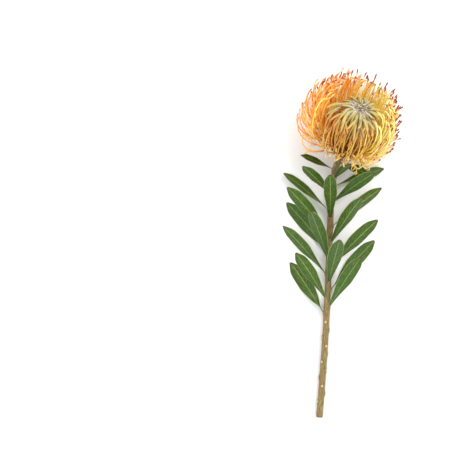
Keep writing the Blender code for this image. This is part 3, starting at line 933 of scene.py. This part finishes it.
def closed_bars(number, rank, values):
    """A closed floret: a strap with a pointed lower end, and the bowed style that it holds."""
    size = mix(BUD_SIZE, 1.0, ease(rank * BUD_GROWTH)) * (1.0 + STRAP_SCATTER * scatter(number, 22))
    sway = CLOSED_SWAY * clumped(number) * size
    lift = CLOSED_LIFT * scatter(number, 13)
    roll = STRAP_ROLL * scatter(number, 11)
    if rank < BUD_RANK:
        bud = floret_stations(number, sized(BUD_PROFILE, size), sway, lift, roll)
        return [(ON_STRAP, bud, values)]
    lateness = ease((rank - 1.0) / LATE_RANKS)
    size *= mix(1.0, LATE_SIZE, lateness)
    ends = [mix(*pair, 0.5 + 0.5 * scatter(number, 23)) for pair in STRAP_ENDS]
    off = STRAP_STANDS_OFF * (0.55 + 0.45 * scatter(number, 24))
    aside = STRAP_STANDS_ASIDE * scatter(number, 33)
    profile = sized(STRAP_PROFILE, size)
    strap = floret_stations(number, profile, sway, lift, roll, mix(*ends, lateness), off, aside)
    shares = [mix(STRAP_COLOUR_FROM, 1.0, row[0]) for row in STRAP_PROFILE]
    strap = [(share, *station[1:]) for share, station in zip(shares, strap)]
    thread = floret_stations(number, THREAD_PROFILE, THREAD_SWAY * sway, lift - THREAD_DEPTH)
    # The thread's lowered tone makes its finish brown it: painted shade under the dome.
    darker = values | {"tone": THREAD_TONES[0] * values["tone"] + THREAD_TONES[1]}
    return [(ON_STRAP, strap, values), (ON_HOOK, thread, darker), *hair_bars(number, strap, values)]


def floret_bars(number):
    """The bars of one floret: the finish, the stations and the values of each."""
    rank = (number + 0.5) / FIRST_OPEN
    values = {"tone": scatter(number, 6), "warmth": warmth(number), "rank": rank}

    def curl(leaves_at, salt, sizes):
        return ON_CURL, curl_stations(number, leaves_at, salt, *sizes), values

    if is_hooked(number):
        style = floret_stations(number, HOOK_PROFILE, HOOK_SWAY * scatter(number, 10))
        finish = ON_STYLE if scatter(number, 31) > HOOK_PALE else ON_HOOK
        return [(finish, style, values), curl(CURL_SHARE, 50, NARROW_CURL)]
    if is_open(number):
        style = floret_stations(number, OPEN_PROFILE, OPEN_SWAY * scatter(number, 10))
        pale = warmth(number) > OPEN_PALE_FROM + OPEN_PALE_SCATTER * scatter(number, 32)
        curls = curl(CURL_SHARE, 40, BROAD_CURL), curl(CURL_SHARE, 50, NARROW_CURL)
        return [(ON_HOOK if pale else ON_STYLE, style, values), *curls]
    bars = closed_bars(number, rank, values)
    if rank > RIM_RANK:
        bars.append(curl(RIM_CURL_SHARE, 60, BROAD_CURL))
    return bars


def closed_strap():
    """Downy straps: salmon at the pointed end and sage over the crown, browner in the late ones. Their
    tips are silver or dark purple; the purple flanks near the tips are partly their own colour and partly
    painted shade in the gaps between straps."""
    made, tree = new_finish("closed_strap", 0.6, sheen=0.04, gloss=0.25)
    along, across, inner = values_of(tree, "along", "across", "inner")
    tone, rank, warm = values_of(tree, "tone", "rank", "warmth")
    streak = fibres(tree, across, product(tree, along, 6.0), tone, 2.2)
    shifted = math_node(tree, "ADD", along, span(tree, streak, 0.25, 0.75, -0.05, 0.05))
    crown = ramp(tree, shifted, [
        (0.00, 190, 120, 20), (0.30, 232, 168, 46), (0.46, 214, 158, 96), (0.54, 216, 178, 106),
        (0.64, 194, 176, 92), (0.78, 178, 168, 88), (0.90, 172, 164, 98), (1.00, 138, 126, 78),
    ])
    late = ramp(tree, shifted, [
        (0.00, 206, 120, 14), (0.46, 220, 160, 88), (0.58, 190, 122, 26), (0.76, 168, 104, 8),
        (0.88, 162, 112, 22), (1.00, 190, 150, 108),
    ])
    base = blended(tree, span(tree, rank, 1.25, 1.85), crown, late)
    glow = product(tree, span(tree, warm, 0.45, 1.0, 0.0, 0.45), span(tree, along, 0.80, 0.50))
    flank = span(tree, math_node(tree, "ABSOLUTE", across), 0.62, 0.98)
    # Purple flanks near the tip: partly the limb's own colour, partly painted shade in the gaps between
    # straps.
    purple_flank_and_gap_shade = product(tree, flank, span(tree, along, 0.74, 0.93, 0.0, 0.85))
    spent = product(tree, span(tree, along, 0.88, 0.97), span(tree, tone, 0.0, 0.4, 0.0, 0.85))
    silver = product(tree, span(tree, tone, 0.0, -0.5, 0.0, 0.6), span(tree, along, 0.66, 0.92))
    silver = product(tree, silver, span(tree, rank, 1.3, 0.8))
    shadow = span(tree, inner, 0.0, 0.8, 0.0, 0.85)
    pale = span(tree, tone, -1.0, 1.0, 0.0, 0.12)
    lines = span(tree, streak, 0.48, 0.24, 0.0, 0.50)
    hairs = product(tree, down(tree), span(tree, along, 0.76, 1.0, 0.0, 0.36))
    colour = layered(
        tree, base, (glow, 232, 100, 24), (purple_flank_and_gap_shade, 96, 60, 44), (spent, 70, 42, 50),
        (silver, 222, 210, 206), (shadow, 130, 76, 16), (pale, 240, 210, 140), (lines, 124, 68, 22),
        (hairs, 226, 218, 206),
    )
    return covered(made, colour, streak, 0.5, 0.0005)


# The yellow stops: the style's own gold, lightened towards the tip with painted backlit glow.
STYLE_YELLOW_AND_GLOW = (
    (0.00, 238, 166, 34), (0.30, 255, 212, 74), (0.40, 255, 226, 100), (0.70, 255, 242, 156),
    (0.87, 255, 234, 150), (0.925, 240, 150, 80), (0.945, 186, 86, 62), (0.97, 150, 62, 56),
    (1.00, 108, 46, 48),
)
STYLE_HOT = (
    (0.00, 216, 112, 12), (0.30, 255, 150, 34), (0.40, 255, 154, 14), (0.68, 254, 146, 16),
    (0.85, 250, 130, 36), (0.925, 222, 92, 58), (0.945, 160, 58, 54), (0.97, 122, 48, 50),
    (1.00, 92, 38, 44),
)
# These yellow stops are lightened the same way, with painted backlit glow.
HOOK_YELLOW_AND_GLOW = (
    (0.00, 238, 166, 40), (0.32, 255, 210, 76), (0.45, 255, 222, 90), (0.80, 255, 232, 122),
    (0.90, 255, 226, 134), (1.00, 244, 196, 120),
)
HOOK_HOT = (
    (0.00, 214, 110, 10), (0.32, 255, 150, 40), (0.45, 255, 156, 14), (0.80, 254, 148, 22),
    (0.90, 255, 170, 84), (1.00, 240, 156, 104),
)


def style_finish(name, yellow_and_glow_stops, hot_stops):
    """A smooth waxy style, gold to orange, from its foot to its tip. The hot stops are for the more
    orange ones; the yellow stops are lightened with painted backlit glow. A low tone browns it: painted
    shade, as on the threads under the dome. Its pale streaks are painted highlights."""
    made, tree = new_finish(name, 0.50, gloss=0.30)
    along, across, tone, warm = values_of(tree, "along", "across", "tone", "warmth")
    streak = fibres(tree, across, product(tree, along, 8.0), tone, 2.0)
    shifted = math_node(tree, "ADD", along, span(tree, streak, 0.25, 0.75, -0.012, 0.012))
    orange = span(tree, warm, 0.42, 0.85)
    base = blended(tree, orange, ramp(tree, shifted, yellow_and_glow_stops), ramp(tree, shifted, hot_stops))
    # Painted shade: a tone below -0.85, as the threads under the dome have, browns the style.
    brown = span(tree, tone, -0.85, -1.4, 0.0, 0.80)
    # Pale streaks along the fibres: painted highlights.
    lines = span(tree, streak, 0.5, 0.8, 0.0, 0.25)
    colour = layered(tree, base, (brown, 166, 84, 8), (lines, 255, 236, 150))
    return covered(made, colour, streak, 0.3, 0.0003, span(tree, along, 0.93, 0.96, 0.40, 0.75))


def curl_finish():
    """The rolled strap: gold outside its roll and cream inside, with pale edges and fine streaks."""
    made, tree = new_finish("rolled_strap", 0.5, sheen=0.05)
    along, across, inner, tone = values_of(tree, "along", "across", "inner", "tone")
    streak = fibres(tree, across, product(tree, along, 6.0), tone, 2.5)
    face = blended(tree, span(tree, inner, -0.5, 0.5), shade(255, 236, 170), shade(255, 200, 90))
    edges = span(tree, math_node(tree, "ABSOLUTE", across), 0.6, 1.0, 0.0, 0.6)
    lines = span(tree, streak, 0.5, 0.2, 0.0, 0.4)
    colour = layered(tree, face, (edges, 255, 236, 190), (lines, 238, 150, 50))
    return covered(made, colour, streak, 0.4, 0.0004)


def hair_finish():
    """Silvery down, a little lilac at its root."""
    made, tree = new_finish("down_hair", 0.8, sheen=0.2)
    along, tone = values_of(tree, "along", "tone")
    length = ramp(tree, along, [(0.0, 206, 186, 190), (0.35, 232, 224, 214), (1.0, 250, 246, 236)])
    colour = layered(tree, length, (span(tree, tone, -1.0, 1.0, 0.0, 0.4), 226, 206, 150))
    tree.links.new(colour, tree.nodes["Principled BSDF"].inputs["Base Color"])
    return made


STYLE = style_finish("style", STYLE_YELLOW_AND_GLOW, STYLE_HOT)
HOOKED_STYLE = style_finish("hooked_style", HOOK_YELLOW_AND_GLOW, HOOK_HOT)
FLORET_FINISHES = [closed_strap(), STYLE, curl_finish(), HOOKED_STYLE, hair_finish()]


def add_florets(name, numbers, node):
    """One piece that holds some florets. All its hairs share the last strip of its map."""
    bm = new_shape("along", "across", "inner", "tone", "warmth", "rank", mapped=True)
    bars = [bar for number in numbers for bar in floret_bars(number)]
    bars.sort(key=lambda bar: bar[0] == ON_HAIR)
    last = sum(bar[0] != ON_HAIR for bar in bars)
    for column, (finish, stations, values) in enumerate(bars):
        for face in add_bar(bm, BAR_SIDES[finish], stations, min(column, last), last + 1, values):
            face.material_index = finish
    new_piece(name, bm, FLORET_FINISHES, node)


add_florets("crown_of_buds", range(CROWN_FLORETS), "crown_florets")
for row in range(ROWS):
    numbers = [row + ROWS * k for k in range(1, FLORETS_PER_ROW + 1)]
    added = [number + 0.5 for number in numbers if FIRST_OPEN <= number < FIRST_OPEN + HOOKED_PLACES]
    extra = [number + part for number in numbers for part in (0.25, 0.75)]
    added += [number for number in extra if extra_side(number) > EXTRA_EDGE]
    numbers += [number for number in added if is_open(number)]
    add_florets(f"florets_{row + 1:02d}", numbers, f"floret_row_{row + 1:02d}")

# ---- Leaves ---------------------------------------------------------------------------------------
# Leathery blades with no stalk, on a spiral up the stem. Each is folded a little along its pale midrib
# and ends in one or three blunt teeth, each tipped with a small dark gland.
LEAF_LENGTHS = (0.034, 0.067)  # the uppermost leaves and the full-grown ones
LEAF_WIDTHS = (0.0095, 0.0150)
LEAF_SPREADS = (36, 93)  # degrees from the stem, of low leaves and of the uppermost
LEAF_LENGTH_RUN, LEAF_WIDTH_RUN, LEAF_SPREAD_RUN = 0.07, 0.09, 0.050  # what each takes to change
LEAF_LENGTH_SCATTER, LEAF_WIDTH_SCATTER, LEAF_SPREAD_SCATTER = 0.07, 0.08, 4
LEAF_STEPS = 8
LEAF_OFF_STEM = 0.0007
LEAF_ROOT = 0.0012  # how far its foot runs back into the bark
LEAF_FOOT_WIDTH = 0.12
LEAF_RECURVE = 3.0
LEAF_FOLD = 0.16
LEAF_THICKNESS = 0.0006
LEAF_REST = 0.0004
LEAF_TWIST = math.radians(48)
TEETH = (-0.62, 0.0, 0.62)  # where the teeth stand across the tip
TOOTH_WIDTH = 0.16
TOOTH_LENGTH = 0.0016
ONE_TOOTH = -0.3  # leaves that scatter up to this have one
LEAF_RIPPLE, LEAF_RIPPLES = 0.00035, 9.0


def leaf_widths(share):
    """A leaf's width along it, as a share of its greatest: narrow foot, oblong, blunt tip."""
    return max(0.16, min(1.0, 0.22 + 1.5 * share) * math.sqrt(max(1.0 - share**7, 0.0)))


def turned_to_clear(blade, direction, room):
    """The line across a blade, levelled as far as it must be for its lower edge to clear the surface."""
    blade = (blade - direction * blade.dot(direction)).normalized()
    if abs(blade.z) <= room:
        return blade
    level = direction.cross(UP).normalized()
    if level.dot(blade) < 0.0:
        level.negate()
    return level * math.sqrt(1.0 - room**2) + UP * math.copysign(room, blade.z)


def kept_off_surface(direction, height, stride):
    """A leaf's direction, bent along the surface where its next stride would go under it."""
    if height + direction.z * stride >= LEAF_REST:
        return direction
    sink = (LEAF_REST - height) / stride
    level = Vector((direction.x, direction.y, 0.0)).normalized()
    return level * math.sqrt(max(1.0 - sink**2, 0.0)) + UP * sink


def leaf_stations(number):
    """The middle, the half width across and the fold of a leaf, at even steps along it."""
    run, around = leaf_seat(number)
    spread = mix(*LEAF_SPREADS, math.exp(-run / LEAF_SPREAD_RUN))
    spread = math.radians(spread + LEAF_SPREAD_SCATTER * scatter(number, 2))
    length = mix(*LEAF_LENGTHS, ease(run / LEAF_LENGTH_RUN))
    length *= 1.0 + LEAF_LENGTH_SCATTER * scatter(number, 3)
    width = mix(*LEAF_WIDTHS, ease(run / LEAF_WIDTH_RUN))
    width *= 1.0 + LEAF_WIDTH_SCATTER * scatter(number, 4)
    along = stem_along(run)
    away = stem_side(along, around)
    direction = along * math.cos(spread) + away * math.sin(spread)
    blade = along.cross(away).normalized()
    point = stem_place(run) + away * (stem_radius(run) + LEAF_OFF_STEM)
    point.z = max(point.z, LEAF_REST)
    stride = length / LEAF_STEPS
    stations = [(point - direction * LEAF_ROOT, blade * (LEAF_FOOT_WIDTH * width), Vector())]
    for step in range(LEAF_STEPS + 1):
        share = step / LEAF_STEPS
        half = 0.5 * width * leaf_widths(share)
        lift = max(point.z - LEAF_REST, 0.0)
        blade = turned_to_clear(blade, direction, min(lift / half, 1.0))
        fold = direction.cross(blade).normalized() * min(LEAF_FOLD * half, lift)
        stations.append((point, blade * half, fold))
        direction = (direction - along * (LEAF_RECURVE * stride * (0.4 + share))).normalized()
        direction = kept_off_surface(direction, point.z, stride)
        point = point + direction * stride
    return stations


def turned_up(stations, number):
    """A steep blade, twisted along its length so that more of its face looks up."""
    direction = (stations[-1][0] - stations[1][0]).normalized()
    across = stations[len(stations) // 2][1].normalized()
    sense = across.z * direction.cross(across).z + 0.05 * scatter(number, 19)
    twist = -math.copysign(LEAF_TWIST * ease((abs(across.z) - 0.35) / 0.45), sense)
    turned = []
    for step, (point, half, fold) in enumerate(stations):
        turn = Matrix.Rotation(twist * ease(1.8 * step / len(stations)), 3, direction)
        turned.append((point, turn @ half, turn @ fold))
    return turned


def leaf_line(stations, share):
    """The middle, the half width and the fold at any share, on a smooth curve through the stations."""
    last = len(stations) - 1
    start = min(int(share * last), last - 1)
    part = share * last - start
    spots = [stations[min(max(start + step, 0), last)] for step in (-1, 0, 1, 2)]
    weights = (
        -0.5 * part + part**2 - 0.5 * part**3,
        1.0 - 2.5 * part**2 + 1.5 * part**3,
        0.5 * part + 2.0 * part**2 - 1.5 * part**3,
        -0.5 * part**2 + 0.5 * part**3,
    )
    pairs = list(zip(spots, weights))
    return [sum((spot[item] * weight for spot, weight in pairs), Vector()) for item in range(3)]


def leaf_skin():
    """Mid green leather: pale midrib and side veins, a fine pale margin, red-brown glands at the tip."""
    made, tree = new_finish("leaf_skin", 0.42, gloss=0.35)
    along, across, tone = values_of(tree, "along", "across", "tone")
    side = math_node(tree, "ABSOLUTE", across)
    mottle = noise(tree, object_place(tree), 260.0, 3.0)
    green = ramp(tree, mottle, [(0.30, 42, 68, 6), (0.55, 60, 88, 10), (0.75, 82, 108, 18)])
    slant = math_node(tree, "SUBTRACT", product(tree, along, 60.0), product(tree, side, 16.0))
    wave = math_node(tree, "SINE", slant)
    vein = product(tree, span(tree, wave, 0.86, 1.0), span(tree, side, 0.95, 0.3, 0.0, 0.4))
    ribs = math_node(tree, "MAXIMUM", vein, span(tree, side, 0.09, 0.02, 0.0, 0.75))
    deep = span(tree, tone, -1.0, 1.0, 0.0, 0.4)
    margin = span(tree, side, 0.93, 1.0, 0.0, 0.7)
    gland = span(tree, along, 0.955, 0.995, 0.0, 0.9)
    colour = layered(
        tree, green, (ribs, 154, 172, 82), (deep, 58, 96, 40), (margin, 190, 196, 120), (gland, 92, 44, 30),
    )
    raised = math_node(tree, "ADD", ribs, product(tree, mottle, 0.5))
    return covered(made, colour, raised, 0.5, 0.0004, span(tree, mottle, 0.3, 0.8, 0.36, 0.52))


LEAF_SKIN = leaf_skin()


def leaf(number):
    """A leaf as a sheet through its stations, with its teeth drawn out of the tip."""
    stations = turned_up(leaf_stations(number), number)
    ahead = (stations[-1][0] - stations[-2][0]).normalized()
    teeth = TEETH if scatter(number, 14) > ONE_TOOTH else TEETH[1:2]
    ripple = LEAF_RIPPLE * (1.0 + scatter(number, 15))

    def place(x, share):
        point, half, fold = leaf_line(stations, share)
        tooth = max(math.exp(-(((x - spot) / TOOTH_WIDTH) ** 2)) for spot in teeth)
        drawn = ahead * (TOOTH_LENGTH * tooth * ease((share - 0.93) / 0.07))
        wave = ripple * math.sin(LEAF_RIPPLES * share + number) * x * abs(x)
        settled = point + half * x + fold * (abs(x) ** 1.4) + UP * wave + drawn
        settled.z = max(settled.z, 0.5 * LEAF_THICKNESS)
        return settled

    bm = new_shape("along", "across", "tone")
    add_sheet(bm, 12, 22, scatter(number, 16), place)
    name, node = f"leaf_blade_{number + 1:02d}", f"leaf_{number + 1:02d}"
    thicken(new_piece(name, bm, [LEAF_SKIN], node), LEAF_THICKNESS)


for number in range(LEAVES):
    leaf(number)

# ---- Floor, light and camera ----------------------------------------------------------------------
# The flower lies on a plain pale table under two soft lamps and a white sky. The camera looks down on
# it, so that the head is seen from a little below its crown.
FLOOR_SIZE = 4.0
KEY_LAMP = ((0.7, 0.5, 1.1), 0.8, 12.0, (1.0, 0.98, 0.95))  # place from the head, size, power, colour
FILL_LAMP = ((-0.8, -0.5, 0.9), 1.0, 4.0, (0.95, 0.98, 1.0))
SKY_STRENGTH = 1.08
CAMERA_LENS = 85.0
CAMERA_DISTANCE = 1.13
CAMERA_LEAN = math.radians(8)  # from right above the head, away from its crown
CAMERA_ROLL = math.radians(2)
AIM = (-0.1374, -0.1102)  # from the head to the middle of the view, to its right and up


def floor():
    """A plain pale table top."""
    bm = new_shape()
    bmesh.ops.create_grid(bm, x_segments=1, y_segments=1, size=0.5 * FLOOR_SIZE)
    made, tree = new_finish("floor_white", 0.9)
    tree.nodes["Principled BSDF"].inputs["Base Color"].default_value = shade(248, 248, 248)
    thing = in_scene("floor", as_mesh("floor", bm))
    thing.data.materials.append(made)


def lamp(name, place, size, power, colour):
    """A square soft lamp that faces the head."""
    light = bpy.data.lights.new(name, "AREA")
    light.shape = "SQUARE"
    light.size = size
    light.energy = power
    light.color = colour
    thing = in_scene(name, light)
    thing.location = HEAD_CENTRE + Vector(place)
    thing.rotation_euler = (-Vector(place)).to_track_quat("-Z", "Y").to_euler()


def camera():
    """The camera over the head, turned so that the stem runs down the view."""
    up_hint = Vector((-math.sin(CAMERA_ROLL), math.cos(CAMERA_ROLL), 0.0))
    right_hint = Vector((math.cos(CAMERA_ROLL), math.sin(CAMERA_ROLL), 0.0))
    crown_way = Vector((AXIS.x, AXIS.y, 0.0)).normalized()
    overhead = UP * math.cos(CAMERA_LEAN) - crown_way * math.sin(CAMERA_LEAN)
    place = HEAD_CENTRE + overhead * CAMERA_DISTANCE
    aim = HEAD_CENTRE + right_hint * AIM[0] + up_hint * AIM[1]
    forward = (aim - place).normalized()
    right = forward.cross(up_hint).normalized()
    data = bpy.data.cameras.new("camera")
    data.lens = CAMERA_LENS
    thing = in_scene("camera", data)
    thing.location = place
    thing.rotation_euler = Matrix((right, right.cross(forward), -forward)).transposed().to_euler()
    bpy.context.scene.camera = thing


def sky():
    """An even white sky."""
    world = bpy.data.worlds.new("sky")
    world.use_nodes = True
    background = world.node_tree.nodes["Background"]
    background.inputs["Color"].default_value = (1.0, 1.0, 1.0, 1.0)
    background.inputs["Strength"].default_value = SKY_STRENGTH
    bpy.context.scene.world = world


floor()
lamp("key_lamp", *KEY_LAMP)
lamp("fill_lamp", *FILL_LAMP)
sky()
camera()
bpy.context.scene.view_settings.view_transform = "Standard"
